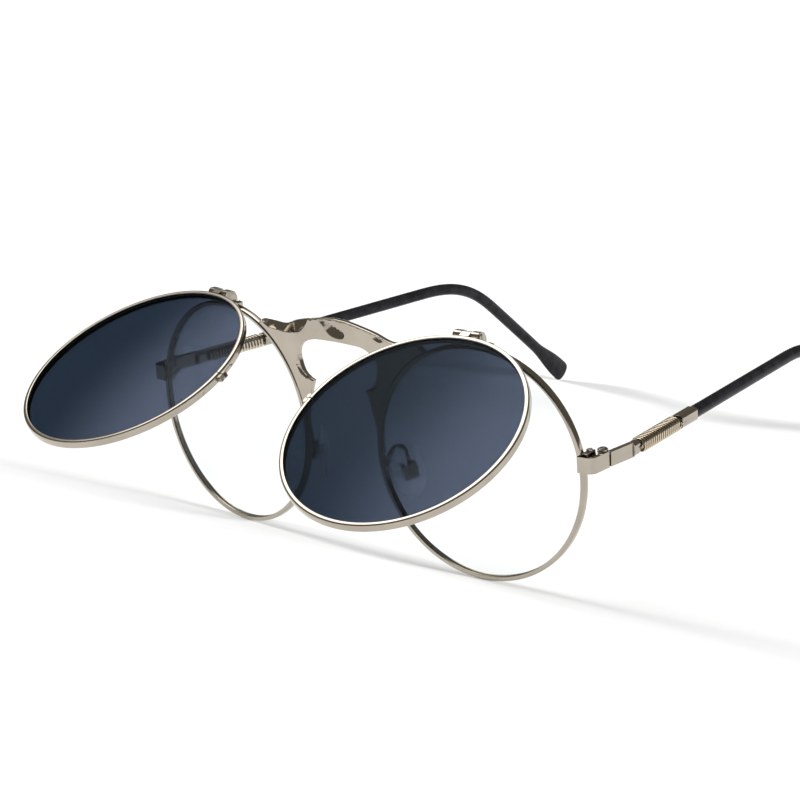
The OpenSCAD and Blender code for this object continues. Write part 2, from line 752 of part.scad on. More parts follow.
flip_rim(1, flip_open_right);  // flip_rim_right
tinted_lens(-1, flip_open_left);  // tinted_lens_left
tinted_lens(1, flip_open_right);  // tinted_lens_right
flip_knuckle(-1, flip_open_left);  // flip_knuckle_left
flip_knuckle(1, flip_open_right);  // flip_knuckle_right
flip_lock(-1, flip_open_left);  // flip_lock_left
flip_lock(1, flip_open_right);  // flip_lock_right
flip_lock_screw(-1, flip_open_left);  // flip_lock_screw_left
flip_lock_screw(1, flip_open_right);  // flip_lock_screw_right
temple_leaf(-1);  // temple_leaf_left
temple_leaf(1);  // temple_leaf_right
temple_collar(-1);  // temple_collar_left
temple_collar(1);  // temple_collar_right
temple_core(-1);  // temple_core_left
temple_core(1);  // temple_core_right
temple_coil(-1);  // temple_coil_left
temple_coil(1);  // temple_coil_right
temple_ferrule(-1);  // temple_ferrule_left
temple_ferrule(1);  // temple_ferrule_right
temple_tip(-1);  // temple_tip_left
temple_tip(1);  // temple_tip_right
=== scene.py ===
# Flip up sunglasses: polished round rims with clear lenses, tinted lenses swung up on top hinges,
# wound coil temples and black ear tips, standing on a white studio floor.
import math
import bmesh
import bpy
import numpy as np
from mathutils import Matrix, Vector
from mathutils.geometry import delaunay_2d_cdt


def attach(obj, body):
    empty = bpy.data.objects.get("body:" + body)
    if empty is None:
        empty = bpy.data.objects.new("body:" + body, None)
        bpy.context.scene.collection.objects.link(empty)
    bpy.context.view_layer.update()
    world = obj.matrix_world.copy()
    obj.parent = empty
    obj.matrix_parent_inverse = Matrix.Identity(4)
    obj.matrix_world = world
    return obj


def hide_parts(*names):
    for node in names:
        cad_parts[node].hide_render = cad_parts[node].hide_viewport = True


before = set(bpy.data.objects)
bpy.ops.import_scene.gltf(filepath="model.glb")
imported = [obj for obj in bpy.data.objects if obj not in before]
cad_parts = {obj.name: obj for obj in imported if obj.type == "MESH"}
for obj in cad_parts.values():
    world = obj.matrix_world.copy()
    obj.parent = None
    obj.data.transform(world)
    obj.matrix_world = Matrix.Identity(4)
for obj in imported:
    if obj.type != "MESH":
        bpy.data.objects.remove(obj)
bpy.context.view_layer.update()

# The stage: a white floor that keeps soft shadows, in a room that is white round the floor and
# dark above it, with a soft box high on the left and lamps at both ends of the glasses.
MM = 0.001


class Wire:
    """One socket of a shader tree, with arithmetic."""

    def __init__(self, tree, socket):
        self.tree = tree
        self.socket = socket

    def maths(self, operation, *others, swapped=False):
        made = self.tree.nodes.new("ShaderNodeMath")
        made.operation = operation
        values = [*others, self] if swapped else [self, *others]
        for place, value in enumerate(values):
            if isinstance(value, Wire):
                self.tree.links.new(value.socket, made.inputs[place])
            else:
                made.inputs[place].default_value = value
        return Wire(self.tree, made.outputs[0])

    def __add__(self, other):
        return self.maths("ADD", other)

    def __sub__(self, other):
        return self.maths("SUBTRACT", other)

    def __rsub__(self, other):
        return self.maths("SUBTRACT", other, swapped=True)

    def __mul__(self, other):
        return self.maths("MULTIPLY", other)

    __radd__ = __add__
    __rmul__ = __mul__

    def step(self, low, high):
        """0 below low, 1 above high, smooth between."""
        return self.node("ShaderNodeMapRange", {"interpolation_type": "SMOOTHSTEP"}, 0,
                         {"Value": self, "From Min": low, "From Max": high})

    def node(self, kind, settings=None, out=0, sockets=None):
        """Adds any node: its settings first, then values or links for its sockets."""
        made = self.tree.nodes.new(kind)
        for name, value in (settings or {}).items():
            setattr(made, name, value)
        for name, value in (sockets or {}).items():
            socket = made.inputs[name]
            if isinstance(value, Wire):
                self.tree.links.new(value.socket, socket)
            else:
                socket.default_value = value
        return Wire(self.tree, made.outputs[out])


def colour_mix(share, first, second):
    """A colour between two, by a share from 0 to 1."""
    return share.node("ShaderNodeMix", {"data_type": "RGBA"}, 2, {0: share, 6: first, 7: second})


def dotted(vector, direction):
    """How far a vector goes along a direction."""
    return vector.node("ShaderNodeVectorMath", {"operation": "DOT_PRODUCT"}, 1,
                       {0: vector, 1: direction})


def paint(name):
    """A new material: itself, its Principled shader and a starting wire at its coordinates."""
    made = bpy.data.materials.new(name)
    made.use_nodes = True
    tree = made.node_tree
    place = tree.nodes.new("ShaderNodeTexCoord")
    return made, tree.nodes["Principled BSDF"], Wire(tree, place.outputs["Object"])


def join(wire, socket):
    """Links a wire to a node's own socket."""
    wire.tree.links.new(wire.socket, socket)


def seen_share(tree):
    """1 where a thing is seen, straight or in metal and glass, and 0 where it only gives light."""
    ray = tree.nodes.new("ShaderNodeLightPath")
    share = Wire(tree, ray.outputs["Is Camera Ray"])
    for kind in ("Is Glossy Ray", "Is Transmission Ray"):
        share = share.maths("MAXIMUM", Wire(tree, ray.outputs[kind]))
    return share


FLOOR_HALF = 4.0
FLOOR_CORNERS = ((-1, -1), (1, -1), (1, 1), (-1, 1))
FLOOR_WHITE = (0.93, 0.93, 0.925, 1)
floor_mesh = bpy.data.meshes.new("floor")
floor_mesh.from_pydata([(x * FLOOR_HALF, y * FLOOR_HALF, 0) for x, y in FLOOR_CORNERS], [], [(0, 1, 2, 3)])
floor = bpy.data.objects.new("floor", floor_mesh)
bpy.context.collection.objects.link(floor)
floor_paint, floor_shader, floor_place = paint("floor_paint")
floor_shader.inputs["Base Color"].default_value = FLOOR_WHITE
floor_shader.inputs["Roughness"].default_value = 0.6
floor_shader.inputs["Specular IOR Level"].default_value = 0.1
# The floor glows white a little where it is seen, straight or in metal and glass, and keeps its
# shadows. Far from the glasses, past the lamps' reach, it is all white.
FLOOR_GLOW = 0.15
FLOOR_LIT = 0.6
FLOOR_FAR = 1.5
floor_tree = floor_paint.node_tree
floor_seen = seen_share(floor_tree)
floor_glow = floor_place.node("ShaderNodeEmission", None, 0, {"Color": (1, 1, 1, 1), "Strength": 1.0})
floor_mix = floor_tree.nodes.new("ShaderNodeMixShader")
floor_out = floor_place.node("ShaderNodeVectorMath", {"operation": "LENGTH"}, 1, {0: floor_place})
floor_share = (1 - FLOOR_GLOW) * floor_out.step(FLOOR_LIT, FLOOR_FAR) + FLOOR_GLOW
join(floor_seen * floor_share, floor_mix.inputs[0])
join(Wire(floor_tree, floor_shader.outputs[0]), floor_mix.inputs[1])
join(floor_glow, floor_mix.inputs[2])
join(Wire(floor_tree, floor_mix.outputs[0]), floor_tree.nodes["Material Output"].inputs["Surface"])
floor_mesh.materials.append(floor_paint)

ROOM_WHITE = (1, 1, 1, 1)
ROOM_DARK = (0.16, 0.145, 0.125, 1)
ROOM_LIGHT = (0.36, 0.36, 0.36, 1)
HORIZON_LOW = 0.05
HORIZON_HIGH = 0.11
SOFT_BOX = Vector((-0.42, 0.18, 0.89)).normalized()
SOFT_BOX_EDGES = (0.86, 0.985)
SOFT_BOX_WHITE = (3.6, 3.6, 3.6, 1)
room = bpy.context.scene.world or bpy.data.worlds.new("room")
bpy.context.scene.world = room
room.use_nodes = True
room_shader = room.node_tree.nodes["Background"]
room_view = Wire(room.node_tree, room.node_tree.nodes.new("ShaderNodeTexCoord").outputs["Generated"])
room_up = dotted(room_view, (0, 0, 1))
room_colour = colour_mix(room_up.step(HORIZON_LOW, HORIZON_HIGH), ROOM_WHITE, ROOM_DARK)
room_colour = colour_mix(dotted(room_view, SOFT_BOX).step(*SOFT_BOX_EDGES), room_colour, SOFT_BOX_WHITE)
room_colour = colour_mix(seen_share(room.node_tree), ROOM_LIGHT, room_colour)
join(room_colour, room_shader.inputs["Color"])
room_shader.inputs["Strength"].default_value = 1.0


def soft_lamp(name, place, width, height, power):
    """A lamp with a wide face, turned to the glasses. It lights, but metal and glass don't show it."""
    data = bpy.data.lights.new(name, "AREA")
    data.shape = "RECTANGLE"
    data.size = width
    data.size_y = height
    data.energy = power
    lamp = bpy.data.objects.new(name, data)
    lamp.location = place
    lamp.rotation_euler = (-Vector(place)).to_track_quat("-Z", "Y").to_euler()
    lamp.visible_glossy = False
    lamp.visible_camera = False
    bpy.context.collection.objects.link(lamp)


soft_lamp("left_lamp", (-2.7, -0.1, 0.5), 0.4, 0.36, 190.0)
soft_lamp("right_lamp", (2.7, 0.1, 0.5), 0.4, 0.36, 190.0)

# The camera: it looks from the viewer's right and a little above, at the middle of the front, which
# leans a little forward on the two rims that it stands on.
LEAN = math.radians(3.18)
FRONT_AHEAD = 45.91
RIM_R = 25.0
RIM_DEPTH = 1.5
FRONT_UP = RIM_R * math.cos(LEAN) + RIM_DEPTH / 2 * math.sin(LEAN)
front_middle = Vector((0, -FRONT_AHEAD, FRONT_UP))
AZIMUTH = math.radians(42.071)
ELEVATION = math.radians(14.913)
ROLL = math.radians(-1.836)
DISTANCE = 512.69
SIDEWAYS = -9.912
UPWARDS = -7.594
FOCAL_PIXELS = 2433.05
PICTURE_PIXELS = 800
view_back = Vector((math.sin(AZIMUTH) * math.cos(ELEVATION), -math.cos(AZIMUTH) * math.cos(ELEVATION),
                    math.sin(ELEVATION)))
view_level = Vector((math.cos(AZIMUTH), math.sin(AZIMUTH), 0))
view_upright = view_back.cross(view_level)
view_right = view_level * math.cos(ROLL) + view_upright * math.sin(ROLL)
view_top = view_upright * math.cos(ROLL) - view_level * math.sin(ROLL)
camera_data = bpy.data.cameras.new("camera")
camera_data.sensor_width = 36
camera_data.lens = camera_data.sensor_width * FOCAL_PIXELS / PICTURE_PIXELS
camera_data.clip_start = 0.01
camera = bpy.data.objects.new("camera", camera_data)
bpy.context.collection.objects.link(camera)
camera_place = Matrix((view_right, view_top, view_back)).transposed().to_4x4()
camera_place.translation = (front_middle + view_back * DISTANCE - view_right * SIDEWAYS
                            - view_top * UPWARDS) * MM
camera.matrix_world = camera_place
bpy.context.scene.camera = camera
bpy.context.scene.view_settings.view_transform = "Standard"

# Rims: round eye wires of polished nickel-plated metal, turned with a V groove inside for the lens
# and cut through at one side, where two blocks and a screw close them. Flip rims are a little larger.
RIM_SPACING = 69.5
WRAP = math.radians(6.27)
RIM_WALL = 1.0
RIM_SLIT = math.radians(9.4)
FLIP_R = 25.5
FLIP_DEPTH = 1.7
FLIP_AXIS = Vector((0, -1.5, 27.2))
FLIP_CENTRE = Vector((0, -1.85, 0.6))
FLIP_OPEN = {"left": math.radians(65.9), "right": math.radians(61.25)}
FLIP_SLIT = math.radians(171)
SLIT = 0.24
GROOVE_DEPTH = 0.45
GROOVE_HALF = 0.5
EDGE_ROUND = 0.2
FACE_ROUND = 0.5
CUT_SHARE = 0.45
METAL = (0.400, 0.358, 0.299, 1)
METAL_PALE = (0.458, 0.411, 0.347, 1)
SIDES = {"left": -1, "right": 1}
front_frame = Matrix.Translation(front_middle) @ Matrix.Rotation(LEAN, 4, "X")
rim_frame = front_frame @ Matrix.Translation((RIM_SPACING / 2, 0, 0)) @ Matrix.Rotation(WRAP, 4, "Z")


def flip_frame(side):
    """The middle of a flip rim, swung up about its hinge pin as it rests."""
    return (rim_frame @ Matrix.Translation(FLIP_AXIS) @ Matrix.Rotation(-FLIP_OPEN[side], 4, "X")
            @ Matrix.Translation(FLIP_CENTRE - FLIP_AXIS))


def noise(place, scale, detail):
    """Cloudy noise over a material's coordinates, from 0 to 1."""
    return place.node("ShaderNodeTexNoise", None, 0, {"Vector": place, "Scale": scale, "Detail": detail})


def bumped(height, strength, **more):
    """A normal that follows a height, a tenth of a millimetre deep at full strength."""
    return height.node("ShaderNodeBump", None, 0,
                       {"Height": height, "Strength": strength, "Distance": 0.1 * MM, **more})


def polished_metal(name, plain, pale, rough):
    """Plated metal: fine polishing swirls, small changes of tone, edges rounded by the buffing wheel."""
    made, shader, place = paint(name)
    cloud = noise(place, 90.0, 3.0)
    swirl = noise(place, 900.0, 4.0)
    join(colour_mix(cloud.step(0.3, 0.7), plain, pale), shader.inputs["Base Color"])
    join(swirl.step(0.3, 0.75) * 0.08 + rough, shader.inputs["Roughness"])
    edge = place.node("ShaderNodeBevel", {"samples": 4}, 0, {"Radius": 0.12 * MM})
    join(bumped(swirl, 0.02, Normal=edge), shader.inputs["Normal"])
    shader.inputs["Metallic"].default_value = 1.0
    return made


plated = polished_metal("plated_metal", METAL, METAL_PALE, 0.04)


def build(name, points, faces, place, side, body, material, replaces=(), sharp=40, flat=2):
    """One piece in its CAD place. Points are in millimetres in the frame of the viewer's right side.
    Faces whose normal lies nearer than flat to the front frame's depth stay flat."""
    mesh = bpy.data.meshes.new(name)
    whole = Matrix.Scale(MM, 4) @ (Matrix.Scale(-1, 4, (1, 0, 0)) if side == "left" else Matrix()) @ place
    mesh.from_pydata([whole @ Vector(point) for point in points], [], faces)
    shape = bmesh.new()
    shape.from_mesh(mesh)
    bmesh.ops.recalc_face_normals(shape, faces=shape.faces)
    shape.to_mesh(mesh)
    shape.free()
    depth = front_frame.to_3x3() @ Vector((0, 1, 0))
    for face in mesh.polygons:
        face.use_smooth = abs(face.normal.dot(depth)) < flat
    mesh.set_sharp_from_angle(angle=math.radians(sharp))
    mesh.materials.append(material)
    piece = bpy.data.objects.new(name, mesh)
    bpy.context.collection.objects.link(piece)
    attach(piece, body)
    if replaces:
        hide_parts(*replaces)
    return piece


def softened(outline, cuts, steps=5):
    """Rounds every corner of a closed outline by its own cut, at most CUT_SHARE of each side."""
    result = []
    for i, (corner, cut) in enumerate(zip(outline, cuts)):
        corner = Vector(corner)
        before = Vector(outline[i - 1]) - corner
        after = Vector(outline[(i + 1) % len(outline)]) - corner
        start = corner + before.normalized() * min(cut, before.length * CUT_SHARE)
        end = corner + after.normalized() * min(cut, after.length * CUT_SHARE)
        for k in range(steps + 1):
            t = k / steps
            result.append(start * (1 - t) ** 2 + corner * 2 * t * (1 - t) + end * t ** 2)
    return result


def ring_faces(rings, size):
    """Faces of a tube between rings of so many points, with its two ends."""
    faces = [(i * size + k, (i + 1) * size + k, (i + 1) * size + (k + 1) % size, i * size + (k + 1) % size)
             for i in range(rings) for k in range(size)]
    return faces + [tuple(range(size)), tuple(rings * size + k for k in range(size))]


def turned(section, start, end, count):
    """Turns a section of (radius, back) points round the rim's axis, with closed ends."""
    points = []
    for i in range(count + 1):
        angle = start + (end - start) * i / count
        points += [(r * math.cos(angle), back, r * math.sin(angle)) for r, back in section]
    return points, ring_faces(count, len(section))


def rim_section(outer, depth):
    """The rim's cross section as (radius, back) points, with the lens groove inside."""
    inner = outer - RIM_WALL
    half = depth / 2
    return softened([(outer, -half), (outer, half), (inner, half), (inner, GROOVE_HALF),
                     (inner + GROOVE_DEPTH, 0), (inner, -GROOVE_HALF), (inner, -half)],
                    [FACE_ROUND] + [EDGE_ROUND] * 6)


RIM_STEPS = 240
for side in SIDES:
    for name, outer, depth, slit, place, body in (
            ("rim", RIM_R, RIM_DEPTH, RIM_SLIT, rim_frame, "front"),
            ("flip_rim", FLIP_R, FLIP_DEPTH, FLIP_SLIT, flip_frame(side), "flip_" + side)):
        half_slit = SLIT / 2 / outer
        points, faces = turned(rim_section(outer, depth), slit + half_slit,
                               slit + 2 * math.pi - half_slit, RIM_STEPS)
        build(f"polished_{name}_{side}", points, faces, place, side, body, plated,
              [f"{name}_{side}"])

# Lenses: curved discs held by a V edge in the rim's groove. The fixed pair is clear; the flip pair is dyed
# dark blue grey and polished on both faces. Over the dye, a painted reflection lightens the flip lenses
# towards the viewer's right, so they look deepest on the viewer's left.
LENS_CURVE = 200.0
LENS_EDGE = 1.1
LENS_PLAY = 0.05
LENS_RINGS = 20
LENS_SECTORS = 96
RING_SPREAD = 0.8
GLASS_IOR = 1.5
TINT_DEEP = (0.126, 0.160, 0.206, 1)
# TINT_DEEP is the plain dye; the lighter tone below is a painted reflection over it, not dye.
TINT_PAINTED_REFLECTION = (0.275, 0.308, 0.378, 1)
CLEAR_MIRROR = 0.6
TINT_MIRROR = 0.07
CLEAR_TINT = (0.955, 0.97, 0.968, 1)
CLEAR_PALE = (0.975, 0.985, 0.985, 1)
CLEAR_SHEEN = (1, 1, 1, 1)
TINT_SHEEN = (0.84, 0.93, 1, 1)
# Where the painted reflection starts and ends across a lens, and how unevenly its edge runs, in
# millimetres.
PAINTED_REFLECTION_FROM = -8
PAINTED_REFLECTION_TO = 23
PAINTED_REFLECTION_RIPPLE = 3


def lens_mesh(inner):
    """A lens curved to a sphere in front and behind, with a V edge that fits the rim's groove."""
    edge = inner - (LENS_EDGE / 2 - GROOVE_HALF) * GROOVE_DEPTH / GROOVE_HALF
    tip = inner + GROOVE_DEPTH - LENS_PLAY
    tip_half = GROOVE_HALF * LENS_PLAY / GROOVE_DEPTH

    def sag(r):
        return math.sqrt(LENS_CURVE ** 2 - r * r) - math.sqrt(LENS_CURVE ** 2 - edge * edge)

    radii = [edge * (i / LENS_RINGS) ** RING_SPREAD for i in range(1, LENS_RINGS + 1)]
    rows = [(r, -sag(r) - LENS_EDGE / 2) for r in radii] + [(tip, -tip_half), (tip, tip_half)]
    rows += [(r, LENS_EDGE / 2 - sag(r)) for r in reversed(radii)]
    points = [(0, -sag(0) - LENS_EDGE / 2, 0), (0, LENS_EDGE / 2 - sag(0), 0)]
    turns = [2 * math.pi * k / LENS_SECTORS for k in range(LENS_SECTORS)]
    for r, back in rows:
        points += [(r * math.cos(turn), back, r * math.sin(turn)) for turn in turns]

    def at(row, k):
        return 2 + row * LENS_SECTORS + k % LENS_SECTORS

    faces = [(at(row, k), at(row + 1, k), at(row + 1, k + 1), at(row, k + 1))
             for row in range(len(rows) - 1) for k in range(LENS_SECTORS)]
    faces += [(0, at(0, k), at(0, k + 1)) for k in range(LENS_SECTORS)]
    faces += [(1, at(len(rows) - 1, k + 1), at(len(rows) - 1, k)) for k in range(LENS_SECTORS)]
    return points, faces


def lens_glass(name, tint, sheen, strength):
    """Glass for a thin lens: light goes straight through its dye, and its faces mirror the room."""
    made, shader, place = paint(name)
    tree = made.node_tree
    tree.nodes.remove(shader)
    clear = place.node("ShaderNodeBsdfTransparent", None, 0, {"Color": tint(place)})
    haze = noise(place, 60.0, 2.0)
    mirror = place.node("ShaderNodeBsdfGlossy", None, 0, {"Color": sheen, "Roughness": haze * 0.03})
    inside = place.node("ShaderNodeNewGeometry", None, "Backfacing")
    share = place.node("ShaderNodeFresnel", None, 0, {"IOR": GLASS_IOR}) * (1 - inside) * strength
    mixed = tree.nodes.new("ShaderNodeMixShader")
    join(share, mixed.inputs[0])
    join(clear, mixed.inputs[1])
    join(mirror, mixed.inputs[2])
    join(Wire(tree, mixed.outputs[0]), tree.nodes["Material Output"].inputs["Surface"])
    return made


def clear_dye(place):
    """The faint tone of clear glass, uneven as from handling."""
    return colour_mix(noise(place, 40.0, 2.0).step(0.2, 0.8), CLEAR_TINT, CLEAR_PALE)


def dye_and_painted_reflection(side):
    """Dark blue grey dye with a painted reflection that lightens it towards the viewer's right of the
    lens.
    """
    middle = SIDES[side] * flip_frame(side).translation.x * MM

    def dye(place):
        # Painted reflection: the plain deep dye turns lighter along the world's x axis, the same way on
        # both lenses.
        out = dotted(place, (1, 0, 0)) + noise(place, 30.0, 1.0) * (PAINTED_REFLECTION_RIPPLE * MM) - middle
        return colour_mix(out.step(PAINTED_REFLECTION_FROM * MM, PAINTED_REFLECTION_TO * MM), TINT_DEEP, TINT_PAINTED_REFLECTION)

    return dye


clear_glass = lens_glass("clear_glass", clear_dye, CLEAR_SHEEN, CLEAR_MIRROR)
for side in SIDES:
    points, faces = lens_mesh(RIM_R - RIM_WALL)
    build("curved_clear_lens_" + side, points, faces, rim_frame, side, "front", clear_glass,
          ["clear_lens_" + side], sharp=25)
    tinted_glass = lens_glass("tinted_glass_" + side, dye_and_painted_reflection(side), TINT_SHEEN, TINT_MIRROR)
    points, faces = lens_mesh(FLIP_R - RIM_WALL)
    build("curved_tinted_lens_" + side, points, faces, flip_frame(side), side, "flip_" + side,
          tinted_glass, ["tinted_lens_" + side], sharp=25)

# Bridge: one pierced plate pressed from polished metal and soldered to both rims. Its top edge has a
# scoop on the left, the inner edges of its spurs carry a groove, and its wings follow the rims' wrap.
BRIDGE_FRONT = -3.25
BRIDGE_T = 1.3
WING_START = 12.1
WING_SOFT = 0.5
BRIDGE_TOP = [(0, 26.4), (3.3, 26.2), (7.4, 25.5), (11.5, 24.6), (15, 23.35), (19, 23.3), (22.6, 23.2)]
BRIDGE_SPUR = [(9.94, 3.1), (9.5, 4.8), (8.7, 7.5), (8.1, 10), (7.3, 12)]
BRIDGE_ARCH = [(7.3, 12), (8.4, 12.4), (10, 13.7), (10.9, 16.5), (10.9, 18), (10.3, 19.2), (9, 20.2),
               (6.9, 21), (4.2, 21.2), (0, 21.3)]
SCOOP = [(7.3, 25.5), (8.5, 23.8), (10, 22.5), (11.4, 22.1), (14.4, 21.6), (17.3, 21.7), (20, 21.8),
         (21.6, 22.4)]
SCOOP_DEEP = 1.18
TOP_LEAN = 0.36
TOP_LEAN_H = 6.0
LEAN_FROM = -12.0
LEAN_OVER = 7.0
# Leaf-shaped hollows: their lower edge, from which they slope in, and their upper edge, a short wall
LEAVES = [([(-4.6, 25.6), (-3.3, 24.3), (-2.3, 23.1), (-0.7, 22.3), (1.6, 22.2), (2.6, 22.9)],
           [(2.6, 22.9), (2.4, 23.7), (0.7, 24.5), (-1.0, 25.2), (-2.6, 25.7), (-4.6, 25.6)]),
          ([(10.4, 23.7), (11.3, 23.2), (12.45, 22.9), (13.55, 23.25)],
           [(13.55, 23.25), (12.65, 23.9), (11.5, 24.15), (10.4, 23.7)])]
LEAF_SLOPE = 0.5
LEAF_WALL = 1.6
SPUR_GROOVE = [(11.45, 16.6), (11.2, 14.9), (10.55, 13.75), (9.5, 12.8), (7.6, 12.0)]
SPUR_GROOVE_R = 0.34
BRIDGE_ROUND = 0.22
LEAST_T = 0.1
OUTLINE_GAP = 0.3
GROOVE_GAP = 0.15
BRIDGE_GRID = 0.4
GRID_RISE = 0.87
CREASE_CLEAR = 0.16
EDGE_CLEAR = 0.3
EDGE_ROWS = (0.04, 0.11, 0.22)
CREASE_ROWS = (-0.24, -0.1, -0.03, 0.03, 0.1, 0.24)
ROW_CLEAR = 0.1
RIM_LAP = 0.02
ARC_TOP = (23.4, 22.3)


def curve_through(points, steps=6):
    """A smooth line through the given points."""
    spots = [Vector(point) for point in points]
    padded = [spots[0] * 2 - spots[1], *spots, spots[-1] * 2 - spots[-2]]
    line = []
    for i in range(1, len(padded) - 2):
        a, b, c, d = padded[i - 1:i + 3]
        for k in range(steps):
            t = k / steps
            line.append(0.5 * (2 * b + (c - a) * t + (2 * a - 5 * b + 4 * c - d) * t ** 2
                               + (3 * b - a - 3 * c + d) * t ** 3))
    return line + [spots[-1]]


def swept(path, across, half_a, half_b, sides):
    """A closed tube along a path. Half sizes are one number or one for each ring."""
    last = len(path) - 1
    points = []
    for i, spot in enumerate(path):
        along = (path[min(i + 1, last)] - path[max(i - 1, 0)]).normalized()
        side = across[i] if isinstance(across, list) else across
        side = (side - side.dot(along) * along).normalized()
        other = along.cross(side)
        a = half_a[i] if isinstance(half_a, list) else half_a
        b = half_b[i] if isinstance(half_b, list) else half_b
        for k in range(sides):
            turn = 2 * math.pi * k / sides
            points.append(spot + side * (a * math.cos(turn)) + other * (b * math.sin(turn)))
    return points, ring_faces(last, sides)


def distances(spots, line):
    """Distance of every spot from an open line, and how far along the line it is, from 0 to 1."""
    best = np.full(len(spots), 1e9)
    along = np.zeros(len(spots))
    for i, (a, b) in enumerate(zip(line, line[1:])):
        step = b - a
        t = np.clip(((spots - a) @ step) / max(1e-9, step @ step), 0, 1)
        gap = np.linalg.norm(spots - a - t[:, None] * step, axis=1)
        along = np.where(gap < best, (i + t) / (len(line) - 1), along)
        best = np.minimum(best, gap)
    return best, along


def inside(spots, loop):
    """True for the spots inside a closed loop."""
    result = np.zeros(len(spots), bool)
    for a, b in zip(loop, np.roll(loop, -1, axis=0)):
        crosses = (a[1] > spots[:, 1]) != (b[1] > spots[:, 1])
        at = a[0] + (spots[:, 1] - a[1]) * (b[0] - a[0]) / (b[1] - a[1] if b[1] != a[1] else 1e-9)
        result ^= crosses & (spots[:, 0] < at)
    return result


def evened(line, gap):
    """The same line with its points about one gap apart."""
    line = np.array([tuple(point) for point in line])
    lengths = np.concatenate([[0], np.cumsum(np.linalg.norm(np.diff(line, axis=0), axis=1))])
    places = np.linspace(0, lengths[-1], max(2, round(lengths[-1] / gap) + 1))
    return np.stack([np.interp(places, lengths, line[:, i]) for i in range(2)], axis=1)


def eased(t):
    """0 below 0, 1 above 1, smooth between."""
    t = np.clip(t, 0, 1)
    return t * t * (3 - 2 * t)


arc_from = math.atan2(ARC_TOP[1], RIM_SPACING / 2 - ARC_TOP[0])
arc_to = math.atan2(BRIDGE_SPUR[0][1], RIM_SPACING / 2 - BRIDGE_SPUR[0][0])
rim_reach = RIM_R - RIM_LAP
ARC_STEPS = 28
arc = []
for i in range(ARC_STEPS + 1):
    turn = arc_from + (arc_to - arc_from) * i / ARC_STEPS
    arc.append((RIM_SPACING / 2 - rim_reach * math.cos(turn) * math.cos(WRAP),
                rim_reach * math.sin(turn)))
runs = [curve_through(BRIDGE_TOP), arc, curve_through(BRIDGE_SPUR), curve_through(BRIDGE_ARCH)]
half_outline = np.concatenate([evened(run, OUTLINE_GAP)[:-1] for run in runs] + [[BRIDGE_ARCH[-1]]])
outline = np.concatenate([half_outline, (half_outline * (-1, 1))[1:-1][::-1]])
top_line = evened(runs[0], OUTLINE_GAP)
scoop_line = evened(curve_through(SCOOP), OUTLINE_GAP)
leaf_edges = [[evened(curve_through(edge), OUTLINE_GAP) for edge in leaf] for leaf in LEAVES]
leaf_loops = [np.concatenate([low, high[1:]]) for low, high in leaf_edges]
groove_line = evened(curve_through(SPUR_GROOVE), GROOVE_GAP)
closed_outline = np.concatenate([outline, outline[:1]])


def edge_height(spots):
    """Height of the plate's rounded edge at each spot: 0 on the outline, BRIDGE_ROUND further in."""
    gap, _ = distances(spots, closed_outline)
    short = np.maximum(BRIDGE_ROUND - gap, 0)
    return np.sqrt(BRIDGE_ROUND ** 2 - short ** 2)


def plate_depth(spots):
    """How far the plate's front is cut back at each spot: scoop, lean, hollows, grooves, soft edge."""
    out = np.abs(spots[:, 0])
    low = np.interp(-spots[:, 0], scoop_line[:, 0], scoop_line[:, 1], left=99, right=99)
    high = np.interp(out, top_line[:, 0], top_line[:, 1])
    depth = SCOOP_DEEP * np.clip((spots[:, 1] - low) / np.maximum(high - low, 0.3), 0, 1)
    below_top = high - np.minimum(spots[:, 1], low)
    share = eased((spots[:, 0] - LEAN_FROM) / LEAN_OVER)
    depth += share * TOP_LEAN * np.sin(np.clip(below_top / TOP_LEAN_H, 0, 1) * math.pi / 2)
    for (low_edge, high_edge), loop in zip(leaf_edges, leaf_loops):
        slope = LEAF_SLOPE * distances(spots, low_edge)[0]
        wall = LEAF_WALL * distances(spots, high_edge)[0]
        depth += np.where(inside(spots, loop), np.minimum(slope, wall), 0)
    gap, along = distances(np.stack([out, spots[:, 1]], axis=1), groove_line)
    reach = SPUR_GROOVE_R * np.sin(math.pi * np.clip(along, 0.04, 0.9)) ** 0.5
    depth += np.sqrt(np.maximum(reach ** 2 - gap ** 2, 0))
    return depth + BRIDGE_ROUND - edge_height(spots)


# Spots: the outline, rows beside every crease, and an even grid between them.
low_corner = outline.min(axis=0)
high_corner = outline.max(axis=0)
across, upward = (high_corner - low_corner) / BRIDGE_GRID
grid = np.array([(low_corner[0] + BRIDGE_GRID * (i + (k % 2) / 2),
                  low_corner[1] + BRIDGE_GRID * GRID_RISE * k)
                 for k in range(int(upward / GRID_RISE) + 2) for i in range(int(across) + 2)])
creases = [*leaf_loops, scoop_line * (-1, 1), groove_line, groove_line * (-1, 1)]
clear_of = np.min([distances(grid, line)[0] for line in creases], axis=0)
grid = grid[(clear_of > CREASE_CLEAR) & inside(grid, outline)
            & (distances(grid, closed_outline)[0] > EDGE_CLEAR)]
rows = []
steps_in = np.roll(outline, -1, axis=0) - np.roll(outline, 1, axis=0)
steps_in = np.stack([steps_in[:, 1], -steps_in[:, 0]], axis=1)
steps_in /= np.linalg.norm(steps_in, axis=1)[:, None]
if not inside(outline + steps_in * 0.05, outline).mean() > 0.5:
    steps_in = -steps_in
for reach in EDGE_ROWS:
    row = outline + steps_in * reach
    row = row[inside(row, outline)]
    rows.append(row[distances(row, closed_outline)[0] > reach * 0.9])
for line in creases:
    steps_out = np.gradient(line, axis=0)
    steps_out = np.stack([steps_out[:, 1], -steps_out[:, 0]], axis=1)
    steps_out /= np.linalg.norm(steps_out, axis=1)[:, None]
    for reach in CREASE_ROWS:
        row = line + steps_out * reach
        row = row[inside(row, outline)]
        rows.append(row[distances(row, closed_outline)[0] > ROW_CLEAR])
spots = np.concatenate([outline, grid] + rows)
